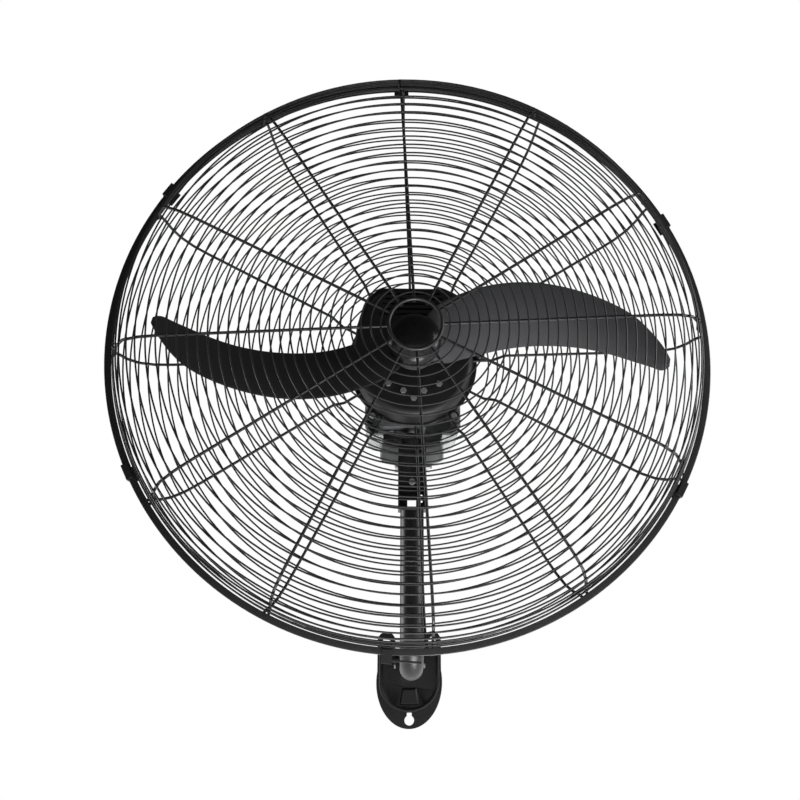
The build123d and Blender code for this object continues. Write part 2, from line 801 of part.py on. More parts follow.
with BuildPart() as rotor_core:
    with BuildSketch(FAN.offset(stator_back)):
        Circle(stator_bore - air_gap)
        Circle(shaft_r, mode=Mode.SUBTRACT)
    extrude(amount=stator_front - stator_back)
    with BuildSketch(FAN.offset(stator_front)):
        Circle(stator_bore - air_gap - 3)
        Circle(stator_bore - air_gap - 11, mode=Mode.SUBTRACT)
    extrude(amount=6)

with BuildPart() as worm:
    with BuildSketch(FAN.offset(-overhang - worm_half)):
        Circle(worm_r)
        Circle(shaft_r, mode=Mode.SUBTRACT)
    extrude(amount=2 * worm_half)
    grooves = int(2 * worm_half / worm_pitch)
    with BuildSketch(FAN_SECTION):
        for step in range(grooves):
            with Locations((worm_r, -overhang - worm_half + (step + 0.5) * worm_pitch + 1)):
                Rectangle(2 * worm_groove, worm_pitch / 2)
    revolve(axis=fan_axis, mode=Mode.SUBTRACT)

# ==== propeller ===================================================================


def blade_point(radius, angle, depth):
    """Point of a blade: radius and angle round the fan axis, depth behind the hoop plane."""
    turn = radians(angle)
    return Vector(radius * cos(turn), depth - reach, rise + radius * sin(turn))


def blade_section(upper, lower, along):
    """Thin cambered section between the blade's upper and lower edge points."""
    chord = lower - upper
    face = chord.cross(along).normalized()
    middle = (upper + lower) * 0.5 + face * (chord.length * blade_camber)
    half_edge = min(blade_edge, chord.length * 0.15) / 2
    half_t = min(blade_t, chord.length * 0.22) / 2
    with BuildLine() as loop:
        ThreePointArc(upper + face * half_edge, middle + face * half_t, lower + face * half_edge)
        Line(lower + face * half_edge, lower - face * half_edge)
        ThreePointArc(lower - face * half_edge, middle - face * half_t, upper - face * half_edge)
        Line(upper - face * half_edge, upper + face * half_edge)
    return make_face(loop.edges(), mode=Mode.PRIVATE)


edges = [
    (blade_point(r, upper, upper_y), blade_point(r, lower, lower_y))
    for r, upper, upper_y, lower, lower_y in blade_stations
]
middles = [(upper + lower) * 0.5 for upper, lower in edges]
sections = []
for index, (upper, lower) in enumerate(edges):
    before = middles[max(index - 1, 0)]
    after = middles[min(index + 1, len(edges) - 1)]
    sections.append(blade_section(upper, lower, after - before))

with BuildPart() as blade:
    loft(sections)

with BuildPart() as propeller:
    with BuildSketch(FAN.offset(hub_back)):
        Circle(hub_r)
    extrude(amount=hub_front - hub_back)
    for half_turn in (0, 180):
        add(blade.part.rotate(fan_axis, half_turn))
    with BuildSketch(FAN.offset(hub_back - cut_past)):
        Circle(insert_r)
    extrude(amount=hub_front - hub_back + 2 * cut_past, mode=Mode.SUBTRACT)
    with BuildSketch(FAN.offset(cap_base - gap)):
        Circle(cap_r + gap)
        Circle(hub_r, mode=Mode.SUBTRACT)
    extrude(amount=cap_height, mode=Mode.SUBTRACT)

with BuildPart() as hub_insert:
    with BuildSketch(FAN.offset(insert_back)):
        Circle(insert_r)
        Circle(shaft_r, mode=Mode.SUBTRACT)
    extrude(amount=hub_front - insert_back)


def dome(radius, height):
    """Half section of a dome on its straight band, in the fan's section plane."""
    with BuildSketch(FAN_SECTION) as half:
        with BuildLine():
            top = (0, cap_base + height)
            shoulder = (radius, cap_base + cap_band)
            Line((0, cap_base), top)
            Spline(top, shoulder, tangents=((1, 0), (0, -1)), tangent_scalars=(1.6, 1.1))
            Polyline(shoulder, (radius, cap_base), (0, cap_base))
        make_face()
    return half.sketch


with BuildPart() as spinner_cap:
    add(dome(cap_r, cap_height))
    revolve(axis=fan_axis)
    add(dome(cap_r - cap_wall, cap_height - cap_wall))
    revolve(axis=fan_axis, mode=Mode.SUBTRACT)

# ==== guards and hoop ================================================================
rear_spoke_y = flange_front + ring_t + spoke_r + touch
front_spoke = [(hoop_r - inset, y) for inset, y in front_bends]
front_spoke.append((centre_r - centre_wire_r, front_depth))
rear_spoke = [(hoop_r - inset, y) for inset, y in rear_bends]
rear_spoke.append((ring_out + rear_dip, rear_depth))
rear_spoke += [(ring_out + rear_flat, rear_spoke_y), (ring_out - rear_tail, rear_spoke_y)]
with BuildPart() as guard_hoop:
    with BuildSketch(FAN_SECTION):
        with Locations((hoop_r - hoop_sheet / 2, 0)):
            Rectangle(hoop_sheet, 2 * hoop_half)
        for side, lip in ((1, hoop_front_lip), (-1, hoop_rear_lip)):
            with Locations((hoop_r - lip / 2, side * (hoop_half - hoop_sheet / 2))):
                Rectangle(lip, hoop_sheet)
    revolve(axis=fan_axis)

edge_r = hoop_r - hoop_sheet - gap - edge_wire_r
spoke_start_r = edge_r - edge_wire_r - spoke_r - touch


def spoke_points(side, corners):
    """A spoke's line in its section plane, from under the edge wire to its inner end."""
    return [(spoke_start_r, side * 1.2), *corners]


def ring_places(side, corners):
    """Ring centres along the spoke's line, laid on its outside, evenly spaced along it."""
    points = spoke_points(side, corners)
    stand_off = spoke_r + ring_wire_r + touch
    places = []
    travelled = 0.0
    wanted = ring_pitch
    for (r0, y0), (r1, y1) in zip(points, points[1:]):
        run = hypot(r1 - r0, y1 - y0)
        while wanted < travelled + run:
            share = (wanted - travelled) / run
            out_r = side * (y1 - y0) / run
            out_y = -side * (r1 - r0) / run
            r = r0 + share * (r1 - r0)
            y = y0 + share * (y1 - y0)
            places.append((r + out_r * stand_off, y + out_y * stand_off))
            wanted += ring_pitch
        travelled += run
    return places


def wire_rings(places, wire_r):
    """Closed wire rings round the fan axis, one through each place, their wire drawn with flats."""
    with BuildPart() as rings:
        with BuildSketch(FAN_SECTION):
            with Locations(*places):
                RegularPolygon(wire_r, wire_side_count)
        revolve(axis=fan_axis)
    return rings


def guard_spokes(side, corners, roll):
    """The guard's spokes: one bent wire at each clock position."""
    points = spoke_points(side, corners)
    with BuildPart() as spokes:
        for step in range(spoke_count):
            section = clock(90 + roll + step * 360 / spoke_count)
            with BuildLine(section):
                FilletPolyline(*points, radius=spoke_bend_r)
            start = section.from_local_coords(Vector(*points[0], 0))
            second = section.from_local_coords(Vector(*points[1], 0))
            with BuildSketch(Plane(origin=start, z_dir=second - start)):
                Circle(spoke_r)
            sweep()
    return spokes


front_places = ring_places(1, front_spoke)
rear_places = ring_places(-1, rear_spoke)
front_edge = (edge_r, edge_wire_y)
rear_edge = (edge_r, -edge_wire_y)
front_side_rings = wire_rings(front_places[:front_side_count], ring_wire_r)
front_face = [p for p in front_places[front_side_count:] if p[0] > centre_r + 8]
front_face_rings = wire_rings(front_face, ring_wire_r)
rear_side_rings = wire_rings(rear_places[:rear_side_count], ring_wire_r)
ears_out = ear_pcd_r + ring_ear_r + 3 * ring_wire_r
rear_face = [p for p in rear_places[rear_side_count:] if p[0] > ears_out]
rear_face_rings = wire_rings(rear_face, ring_wire_r)
edge_wires = wire_rings([front_edge, rear_edge], edge_wire_r)
centre_places = [(centre_r, front_depth + spoke_r + centre_wire_r + touch)]
front_centre_ring = wire_rings(centre_places, centre_wire_r)
front_spokes = guard_spokes(1, front_spoke, front_roll)
rear_spokes = guard_spokes(-1, rear_spoke, rear_roll)

ear_points = [(ear_pcd_r * cos(radians(a)), ear_pcd_r * sin(radians(a))) for a in ring_ears]
with BuildPart() as guard_ring:
    with BuildSketch(FAN.offset(flange_front)):
        Circle(ring_out)
        with Locations(*ear_points):
            Circle(ring_ear_r)
        Circle(ring_in, mode=Mode.SUBTRACT)
        with Locations(*ear_points):
            Circle(guard_screw_r + touch, mode=Mode.SUBTRACT)
    extrude(amount=ring_t)

with BuildPart() as guard_screws:
    screw_face = flange_front + ring_t
    with BuildSketch(FAN.offset(screw_face)):
        with Locations(*ear_points):
            Circle(guard_screw_r)
    extrude(amount=flange_front - flange_t - guard_nut - screw_face)
    with BuildSketch(FAN.offset(screw_face)):
        with Locations(*ear_points):
            Circle(guard_screw_head_r)
    extrude(amount=guard_screw_head, taper=20)
    with BuildSketch(FAN.offset(flange_front - flange_t)):
        with Locations(*ear_points):
            RegularPolygon(guard_nut_r, 6)
    extrude(amount=-guard_nut)

with BuildPart() as hoop_clips:
    for angle in clip_angles:
        out = Vector(cos(radians(angle)), 0, sin(radians(angle)))
        clip_seat = Vector(*fan_point) + out * (hoop_r + touch)
        clip_face = Plane(origin=clip_seat, x_dir=(0, -1, 0), z_dir=out)
        with BuildSketch(clip_face):
            Rectangle(2 * clip_half, clip_length)
        extrude(amount=clip_sheet)
        with BuildSketch(clip_face.offset(-clip_grip)):
            for end in (-1, 1):
                with Locations((end * (clip_half - clip_sheet / 2), 0)):
                    Rectangle(clip_sheet, clip_length)
        extrude(amount=clip_grip + clip_sheet / 2)

# ==== hoop latch ====================================================================
latch_out = Vector(cos(radians(latch_angle)), 0, sin(radians(latch_angle)))
latch_seat = Vector(*fan_point) + latch_out * (hoop_r + touch)
LATCH = Plane(origin=latch_seat, x_dir=(0, -1, 0), z_dir=latch_out)
latch_length = hoop_r * radians(latch_sweep)
with BuildPart() as latch_bracket:
    with BuildSketch(LATCH):
        Rectangle(2 * clip_half, 2 * latch_half)
    extrude(amount=clip_sheet)
    for end in (-1, 1):
        with BuildSketch(LATCH):
            with Locations((end * (clip_half - clip_sheet / 2), 0)):
                Rectangle(clip_sheet, 2 * latch_half)
        extrude(amount=latch_cheek)
        with BuildSketch(LATCH.offset(-clip_grip)):
            with Locations((end * (clip_half - clip_sheet / 2), 0)):
                Rectangle(clip_sheet, 2 * latch_half)
        extrude(amount=clip_grip + clip_sheet / 2)
    pin_point = LATCH.offset(latch_pin_rise).origin
    with Locations(Plane(origin=pin_point, z_dir=(0, 1, 0))):
        Cylinder(latch_rivet_r, 2 * clip_half)

with BuildPart() as latch_lever:
    lever_half = clip_half - clip_sheet - gap
    with BuildSketch(LATCH.offset(latch_pin_rise - latch_t / 2)):
        with Locations((0, -latch_length / 2)):
            Rectangle(2 * lever_half, latch_length)
    extrude(amount=latch_t)
    with Locations(Plane(origin=pin_point, z_dir=(0, 1, 0))):
        Cylinder(latch_rivet_r + latch_eye_wall, 2 * lever_half)
        Cylinder(latch_rivet_r + fit, 3 * lever_half, mode=Mode.SUBTRACT)

pieces = {
    "wall_plate": wall_plate,
    "arm_socket": arm_socket,
    "socket_screws": socket_screws,
    "arm_tube": arm_tube,
    "neck_channel": neck_channel,
    "tilt_bolt": tilt_bolt,
    "tilt_nut": tilt_nut_part,
    "neck_block": neck_block,
    "neck_bush": neck_bush,
    "thrust_washer": thrust_washer,
    "tilt_lock_screw": tilt_lock_screw,
    "pivot_stud": pivot_stud,
    "gearbox_housing": gearbox_housing,
    "gearbox_lid": gearbox_lid,
    "lid_screws": lid_screws,
    "shaft_bush": shaft_bush,
    "motor_can": motor_can,
    "rear_shield": rear_shield,
    "stator_core": stator_core,
    "stator_winding": stator_winding,
    "front_bearing": bearing_parts["front_bearing"],
    "rear_bearing": bearing_parts["rear_bearing"],
    "motor_front_cover": motor_front_cover,
    "front_cover_screws": front_cover_screws,
    "rear_cover": rear_cover,
    "lead_grommet": lead_grommet,
    "run_capacitor": run_capacitor,
    "guard_ring": guard_ring,
    "guard_screws": guard_screws,
    "guard_hoop": guard_hoop,
    "hoop_clips": hoop_clips,
    "edge_wires": edge_wires,
    "front_spokes": front_spokes,
    "front_face_rings": front_face_rings,
    "front_side_rings": front_side_rings,
    "front_centre_ring": front_centre_ring,
    "rear_spokes": rear_spokes,
    "rear_face_rings": rear_face_rings,
    "rear_side_rings": rear_side_rings,
    "latch_bracket": latch_bracket,
    "latch_lever": latch_lever,
    "crank": crank,
    "worm_wheel": worm_wheel,
    "clutch_knob": clutch_knob,
    "motor_shaft": motor_shaft,
    "rotor_core": rotor_core,
    "worm": worm,
    "hub_insert": hub_insert,
    "propeller": propeller,
    "spinner_cap": spinner_cap,
}
os.makedirs("parts", exist_ok=True)
for name, piece in pieces.items():
    piece.part.label = name
    export_step(piece.part, f"parts/{name}.step")
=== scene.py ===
"""Wall mounted fan: the looks of the caged fan on its bent arm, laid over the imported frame."""

from math import cos, radians, sin

import bmesh
import bpy
import numpy as np
from mathutils import Matrix, Vector


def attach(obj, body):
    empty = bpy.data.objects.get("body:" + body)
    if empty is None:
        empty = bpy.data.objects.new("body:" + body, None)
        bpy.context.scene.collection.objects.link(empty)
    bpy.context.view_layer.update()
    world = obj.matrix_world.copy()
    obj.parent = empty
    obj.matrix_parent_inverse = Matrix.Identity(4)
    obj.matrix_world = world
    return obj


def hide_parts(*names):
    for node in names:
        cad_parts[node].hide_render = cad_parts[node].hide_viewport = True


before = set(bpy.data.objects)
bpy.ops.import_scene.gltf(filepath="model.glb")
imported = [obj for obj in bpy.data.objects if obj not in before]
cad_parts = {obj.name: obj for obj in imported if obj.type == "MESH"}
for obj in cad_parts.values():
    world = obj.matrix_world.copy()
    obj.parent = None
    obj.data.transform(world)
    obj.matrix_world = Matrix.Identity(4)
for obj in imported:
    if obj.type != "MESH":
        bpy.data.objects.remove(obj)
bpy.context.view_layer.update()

bl_info = {
    "name": "Wall mounted fan",
    "version": (1, 0, 0),
    "blender": (4, 5, 0),
    "location": "3D View > Sidebar > Fan",
    "description": "Guards, propeller, motor, neck, arm and plate of a wall mounted fan",
    "category": "Object",
}

TAU = 2 * np.pi

# The part's own places, in metres. A (r, f) pair is a radius from the fan axis and a distance
# ahead of the hoop's middle plane.
FAN_Y = -0.445
FAN_Z = 0.525
GAP = 0.0003  # between the hoop's strip and its edge wires
TOUCH = 0.00002  # between wires that are welded where they cross
FRONT_DEPTH = 0.088  # from the hoop's middle plane forward to the front spokes' face
REAR_DEPTH = 0.072  # from that plane back to the rear spokes' face
SEAT_DEPTH = 0.09598  # from that plane back to the rear spokes' ends on the guard ring
# Corners of a spoke: inset from the hoop's outside, and distance ahead of the hoop.
FRONT_BENDS = (
    (0.0185, 0.015), (0.030, 0.049), (0.048, 0.075), (0.074, 0.085), (0.105, FRONT_DEPTH),
)
REAR_BENDS = (
    (0.016, -0.013), (0.022, -0.036), (0.035, -0.057), (0.058, -0.069), (0.088, -REAR_DEPTH),
)
# Last corners of a rear spoke, as (r, f): it dips inwards to the guard ring.
REAR_DIP = ((0.1615, -REAR_DEPTH), (0.1415, -SEAT_DEPTH), (0.1045, -SEAT_DEPTH))
SPOKE_START = 0.0012  # from the hoop's middle plane to a spoke's outer end
SPOKE_BEND = 0.009
SPOKE_ANGLES = np.radians(90 + 30.0 * np.arange(12))
SPOKE_ROLLS = (radians(3.2), radians(2.2))  # front and rear: the first spoke, past the top
EDGE_WIRE_OUT = 0.0035  # from the hoop's middle plane to each edge wire
CENTRE_CLEAR = 0.008  # the front rings stop this far outside the middle ring
EARS_OUT = 0.1337  # the rear rings stop outside the guard ring's ears
SIDE_RINGS = 5  # the outermost rings of a guard, which go round its side
RING_STEPS = 144
# Blade stations: radius, upper edge's angle and depth, lower edge's angle and depth, in metres
# and degrees.
BLADE = np.array((
    (0.034, 66.0, -0.0160, -40.0, 0.0180),
    (0.052, 63.5, -0.0200, -30.0, 0.0220),
    (0.072, 58.5, -0.0220, -17.0, 0.0260),
    (0.100, 50.0, -0.0232, -6.3, 0.0305),
    (0.140, 41.2, -0.0240, 0.2, 0.0330),
    (0.180, 34.4, -0.0244, 2.2, 0.0305),
    (0.220, 28.3, -0.0245, 2.2, 0.0265),
    (0.260, 22.5, -0.0241, 1.3, 0.0218),
    (0.300, 17.0, -0.0234, -0.2, 0.0164),
    (0.340, 11.8, -0.0223, -2.2, 0.0106),
    (0.380, 6.2, -0.0208, -4.3, 0.0045),
    (0.408, 1.0, -0.0194, -5.6, -0.0004),
    (0.424, -2.3, -0.0175, -5.8, -0.0045),
    (0.430, -3.6, -0.0145, -5.2, -0.0090),
))
HUB_BEND = 0.004

MERGE = 2e-6  # points nearer than this are one point
FLAT_ANGLE = radians(0.6)  # faces that meet within this angle are one flat
SHARP = 32.0  # degrees: an edge over this is broken with a bevel
CLOUD_SHARE = 0.4  # how much of the worn colour the clouds show
GRAIN_DEPTH = 0.001  # of the bump

FLOOR_Z = -0.5
FLOOR_HALF = 6.0
AMBIENT = 0.06  # the world's strength for light
# Lamps: name, place, the point it is aimed at, watts, width in metres, spread in degrees.
LAMPS = (
    ("key", (0.2, -0.62, -0.42), (0.05, -0.45, 0.5), 2.2, 0.6, 65),
    ("side", (-2.2, 0.45, 0.2), (0, -0.3, 0.3), 34, 1.6, 180),
    ("fill", (2.2, -0.9, 0.8), (0, -0.45, 0.5), 36, 1.2, 180),
)

# The photograph's camera: its place, turns in degrees, lens, and how far its frame is shifted.
CAMERA_PLACE = (-0.0327, -1.7560, 0.0469)
CAMERA_YAW = 3.834
CAMERA_PITCH = 15.369
CAMERA_ROLL = -0.726
CAMERA_LENS = 37.467
CAMERA_SHIFT = (-0.06006, 0.01483)
SENSOR = 36.0


# ---- surfaces -------------------------------------------------------------------------
def grid_faces(count, rows, columns, close_rows, close_columns):
    """Quads of count grids of rows x columns points, closed on themselves where asked."""
    i = np.arange(rows if close_rows else rows - 1)
    j = np.arange(columns if close_columns else columns - 1)
    i, j = np.meshgrid(i, j, indexing="ij")
    right, below = (j + 1) % columns, (i + 1) % rows
    corners = i * columns + j, below * columns + j, below * columns + right, i * columns + right
    first = (np.arange(count) * rows * columns).reshape(-1, 1, 1)
    quads = np.stack(corners, -1).reshape(1, -1, 4) + first
    return quads.reshape(-1, 4)


def surface(name, points, close_rows=False, close_columns=True, caps=False, merge=False,
            sharp=40.0):
    """A mesh through points[piece, row, column, xyz]: quads between neighbours, ends closed by
    caps, turned so that the volume it encloses is positive."""
    points = np.asarray(points, float)
    count, rows, columns = points.shape[:3]
    quads = grid_faces(count, rows, columns, close_rows, close_columns)
    flat = points.reshape(-1, 3)
    a, b, c, d = (flat[quads[:, k]] for k in range(4))
    middle = flat.mean(0)
    volume = (np.einsum("ij,ij->i", a - middle, np.cross(b - middle, c - middle))
              + np.einsum("ij,ij->i", a - middle, np.cross(c - middle, d - middle))).sum()
    faces = quads.tolist()
    if caps:
        start = np.arange(columns)
        base = (np.arange(count) * rows * columns).reshape(-1, 1)
        faces += (base + start[::-1]).tolist()
        faces += (base + (rows - 1) * columns + start).tolist()
    if volume < 0:
        faces = [face[::-1] for face in faces]
    mesh = bpy.data.meshes.new(name)
    mesh.from_pydata(flat.tolist(), [], faces)
    piece = bpy.data.objects.new(name, mesh)
    bpy.context.scene.collection.objects.link(piece)
    if merge:
        weld(mesh)
    smooth(mesh, sharp)
    return piece


def weld(mesh):
    """Merges points that lie together, such as those of a pole or a seam."""
    shape = bmesh.new()
    shape.from_mesh(mesh)
    bmesh.ops.remove_doubles(shape, verts=shape.verts, dist=MERGE)
    bmesh.ops.dissolve_degenerate(shape, edges=shape.edges, dist=1e-7)
    shape.to_mesh(mesh)
    shape.free()


def smooth(mesh, angle):
    """Smooth shading, with edges over the angle kept sharp."""
    mesh.polygons.foreach_set("use_smooth", np.ones(len(mesh.polygons), bool))
    mesh.set_sharp_from_angle(angle=radians(angle))


def turned(profile, steps):
    """Surface of revolution about the fan axis: (r, f) goes to
    (r cos t, FAN_Y - f, FAN_Z + r sin t)."""
    profile = np.asarray(profile, float)
    t = TAU * np.arange(steps) / steps
    r, f = profile[:, 0], profile[:, 1]
    x = np.cos(t)[:, None] * r
    z = FAN_Z + np.sin(t)[:, None] * r
    y = np.broadcast_to(FAN_Y - f, x.shape)
    return np.stack((x, y, z), -1)


def rings(places, wire_r, sides):
    """Wire rings: a circle of radius w round each (R, f), turned about the fan axis."""
    phi = TAU * np.arange(sides) / sides
    circle = wire_r * np.stack((np.cos(phi), np.sin(phi)), -1)
    return np.stack([turned(place + circle, RING_STEPS) for place in places])


def bend_line(corners, radius, steps):
    """A line through corners with each corner rounded: p = c + (1-s)^2 a + s^2 b, a and b being
    the steps back and on from the corner c to where the bend starts and ends."""
    corners = np.asarray(corners, float)
    points = [corners[:1]]
    s = np.linspace(0, 1, steps)[:, None]
    for before, corner, after in zip(corners, corners[1:], corners[2:]):
        back, on = before - corner, after - corner
        lengths = np.linalg.norm(back), np.linalg.norm(on)
        back, on = back / lengths[0], on / lengths[1]
        half = 0.5 * (np.pi - np.arccos(np.clip(back @ on, -1, 1)))
        reach = min(radius * np.tan(half), 0.45 * min(lengths))
        points.append(corner + (1 - s) ** 2 * back * reach + s**2 * on * reach)
    points.append(corners[-1:])
    return np.concatenate(points)


def flat_tube(line, radius, sides):
    """Tube round a line in a plane: centre + w (cos a n + sin a m), n square to the line in its
    plane and m square to the plane. Gives points as (two places in the plane, off-plane)."""
    along = np.gradient(line, axis=0)
    along /= np.linalg.norm(along, axis=1, keepdims=True)
    normal = np.stack((-along[:, 1], along[:, 0]), -1)
    a = TAU * np.arange(sides) / sides
    plane = line[:, None, :] + radius * np.cos(a)[None, :, None] * normal[:, None, :]
    off = np.broadcast_to(radius * np.sin(a), plane.shape[:2])
    return np.concatenate((plane, off[..., None]), -1)


def at_clock(points, angle):
    """Points (r, f, off-plane) placed in the section plane at a clock angle."""
    c, s = np.cos(angle), np.sin(angle)
    r, f, off = points[..., 0], points[..., 1], points[..., 2]
    return np.stack((r * c - off * s, FAN_Y - f, FAN_Z + r * s + off * c), -1)


def spline(knots, values, wanted):
    """Natural cubic spline through columns of values at knots, read at wanted."""
    knots, values = np.asarray(knots, float), np.asarray(values, float)
    h = np.diff(knots)
    n = len(knots)
    system = np.eye(n)
    rows = np.arange(1, n - 1)
    system[rows, rows - 1] = h[:-1]
    system[rows, rows] = 2 * (h[:-1] + h[1:])
    system[rows, rows + 1] = h[1:]
    right = np.zeros_like(values)
    slope = np.diff(values, axis=0) / h[:, None]
    right[1:-1] = 6 * np.diff(slope, axis=0)
    bend = np.linalg.solve(system, right)
    k = np.clip(np.searchsorted(knots, wanted) - 1, 0, n - 2)
    u = (wanted - knots[k])[:, None]
    w = (knots[k + 1] - wanted)[:, None]
    g = h[k][:, None]
    curved = (bend[k] * w**3 + bend[k + 1] * u**3) / (6 * g)
    before, after = values[k] / g - bend[k] * g / 6, values[k + 1] / g - bend[k + 1] * g / 6
    return curved + before * w + after * u


def rounded_copy(node, width, segments=2):
    """The node's own solid with its edges broken: a merged copy, flats dissolved, with a bevel."""
    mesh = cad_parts[node].data.copy()
    mesh.materials.clear()
    mesh.name = node + "_edges"
    shape = bmesh.new()
    shape.from_mesh(mesh)
    bmesh.ops.remove_doubles(shape, verts=shape.verts, dist=MERGE)
    bmesh.ops.dissolve_limit(shape, angle_limit=FLAT_ANGLE, verts=shape.verts, edges=shape.edges)
    shape.to_mesh(mesh)
    shape.free()
    smooth(mesh, SHARP)
    piece = bpy.data.objects.new(mesh.name, mesh)
    bpy.context.scene.collection.objects.link(piece)
    if width:
        bevel = piece.modifiers.new("broken edges", "BEVEL")
        bevel.width = width
        bevel.segments = segments
        bevel.limit_method = "ANGLE"
        bevel.angle_limit = radians(SHARP)
        bevel.harden_normals = True
        bevel.use_clamp_overlap = True
    return piece


def wear(piece, material, body, slot, *nodes):
    """Gives a piece its material and its body, and hides the CAD nodes it stands for; slot is not
    used.
    """
    piece.data.materials.append(material)
    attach(piece, body)
    if nodes:
        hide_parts(*nodes)
    return piece


# ---- materials ------------------------------------------------------------------------
def mottle_group():
    """Shader group: cloudy colour, fine grain and changing roughness, all from noise."""
    if "mottle" in bpy.data.node_groups:
        return bpy.data.node_groups["mottle"]
    group = bpy.data.node_groups.new("mottle", "ShaderNodeTree")
    face = group.interface
    for name, kind in (
        ("Vector", "Vector"), ("Colour", "Color"), ("Worn Colour", "Color"),
        ("Cloud Scale", "Float"), ("Cloud Share", "Float"), ("Grain Scale", "Float"),
        ("Smoothest", "Float"), ("Roughest", "Float"),
    ):
        face.new_socket(name=name, in_out="INPUT", socket_type="NodeSocket" + kind)
    for name, kind in (("Colour", "Color"), ("Roughness", "Float"), ("Height", "Float")):
        face.new_socket(name=name, in_out="OUTPUT", socket_type="NodeSocket" + kind)
    nodes, links = group.nodes, group.links
    inside = nodes.new("NodeGroupInput")
    out = nodes.new("NodeGroupOutput")
    cloud = nodes.new("ShaderNodeTexNoise")
    cloud.inputs["Detail"].default_value = 5.0
    grain = nodes.new("ShaderNodeTexNoise")
    grain.inputs["Detail"].default_value = 3.0
    share = nodes.new("ShaderNodeMath")
    share.operation = "MULTIPLY"
    mix = nodes.new("ShaderNodeMix")
    mix.data_type = "RGBA"
    rough = nodes.new("ShaderNodeMapRange")
    links.new(inside.outputs["Vector"], cloud.inputs["Vector"])
    links.new(inside.outputs["Cloud Scale"], cloud.inputs["Scale"])
    links.new(inside.outputs["Vector"], grain.inputs["Vector"])
    links.new(inside.outputs["Grain Scale"], grain.inputs["Scale"])
    links.new(cloud.outputs["Fac"], share.inputs[0])
    links.new(inside.outputs["Cloud Share"], share.inputs[1])
    links.new(share.outputs[0], mix.inputs["Factor"])
    links.new(inside.outputs["Colour"], mix.inputs[6])
    links.new(inside.outputs["Worn Colour"], mix.inputs[7])
    links.new(cloud.outputs["Fac"], rough.inputs["Value"])
    links.new(inside.outputs["Smoothest"], rough.inputs["To Min"])
    links.new(inside.outputs["Roughest"], rough.inputs["To Max"])
    links.new(mix.outputs[2], out.inputs["Colour"])
    links.new(rough.outputs["Result"], out.inputs["Roughness"])
    links.new(grain.outputs["Fac"], out.inputs["Height"])
    return group


def finish(name, colour, worn, rough, cloud, grain, bump, metallic=0.0, stretch=(1, 1, 1),
           coat=0.0):
    """One finish: the mottle group on Object coordinates into a Principled shader. rough holds
    the least and most roughness, cloud and grain scale the noise, bump is the grain's strength."""
    material = bpy.data.materials.get(name)
    if material:
        return material
    material = bpy.data.materials.new(name)
    material.use_nodes = True
    nodes, links = material.node_tree.nodes, material.node_tree.links
    shader = nodes["Principled BSDF"]
    place = nodes.new("ShaderNodeTexCoord")
    scale = nodes.new("ShaderNodeMapping")
    scale.inputs["Scale"].default_value = stretch
    group = nodes.new("ShaderNodeGroup")
    group.node_tree = mottle_group()
    group.inputs["Colour"].default_value = (*colour, 1)
    group.inputs["Worn Colour"].default_value = (*worn, 1)
    group.inputs["Cloud Scale"].default_value = cloud
    group.inputs["Cloud Share"].default_value = CLOUD_SHARE
    group.inputs["Grain Scale"].default_value = grain
    group.inputs["Smoothest"].default_value = rough[0]
    group.inputs["Roughest"].default_value = rough[1]
    height = nodes.new("ShaderNodeBump")
    height.inputs["Strength"].default_value = bump
    height.inputs["Distance"].default_value = GRAIN_DEPTH
    links.new(place.outputs["Object"], scale.inputs["Vector"])
    links.new(scale.outputs["Vector"], group.inputs["Vector"])
    links.new(group.outputs["Colour"], shader.inputs["Base Color"])
    links.new(group.outputs["Roughness"], shader.inputs["Roughness"])
    links.new(group.outputs["Height"], height.inputs["Height"])
    links.new(height.outputs["Normal"], shader.inputs["Normal"])
    shader.inputs["Metallic"].default_value = metallic
    shader.inputs["Coat Weight"].default_value = coat
    return material


def wire_coat():
    colour = bpy.context.scene.fan_colours.wire
    return finish("wire_coat", colour, (0.036, 0.036, 0.037), (0.3, 0.44), 14, 1400, 0.15)


def steel_coat():
    colour = bpy.context.scene.fan_colours.steel_paint
    return finish("steel_coat", colour, (0.016, 0.016, 0.017), (0.26, 0.4), 12, 1100, 0.2)


def casting_coat():
    colour = bpy.context.scene.fan_colours.casting_paint
    return finish("casting_coat", colour, (0.014, 0.014, 0.0145), (0.42, 0.6), 20, 700, 0.35)


def blade_plastic():
    colour = bpy.context.scene.fan_colours.blade
    return finish("blade_plastic", colour, (0.003, 0.003, 0.0032), (0.3, 0.38), 7, 1600, 0.04)


def cap_plastic():
    colour = bpy.context.scene.fan_colours.cap
    worn = 0.018, 0.018, 0.0185
    return finish("cap_plastic", colour, worn, (0.16, 0.26), 9, 1500, 0.02, coat=0.3)


def cover_plastic():
    colour = bpy.context.scene.fan_colours.rear_cover
    return finish("cover_plastic", colour, (0.5, 0.505, 0.5), (0.42, 0.56), 8, 900, 0.15)


def zinc():
    colour, worn = (0.6, 0.6, 0.58), (0.38, 0.37, 0.34)
    return finish("zinc", colour, worn, (0.25, 0.42), 160, 1500, 0.1, metallic=1.0)


def ground_steel():
    colour, worn = (0.5, 0.5, 0.5), (0.34, 0.33, 0.32)
    return finish("ground_steel", colour, worn, (0.22, 0.4), 60, 1300, 0.15, metallic=1.0,
                  stretch=(1, 8, 1))


def cast_alloy():
    colour, worn = (0.42, 0.43, 0.44), (0.27, 0.27, 0.27)
    return finish("cast_alloy", colour, worn, (0.45, 0.62), 40, 500, 0.5, metallic=1.0)


def bronze():
    colour, worn = (0.5, 0.33, 0.16), (0.3, 0.18, 0.08)
    return finish("bronze", colour, worn, (0.28, 0.45), 70, 1000, 0.1, metallic=1.0)


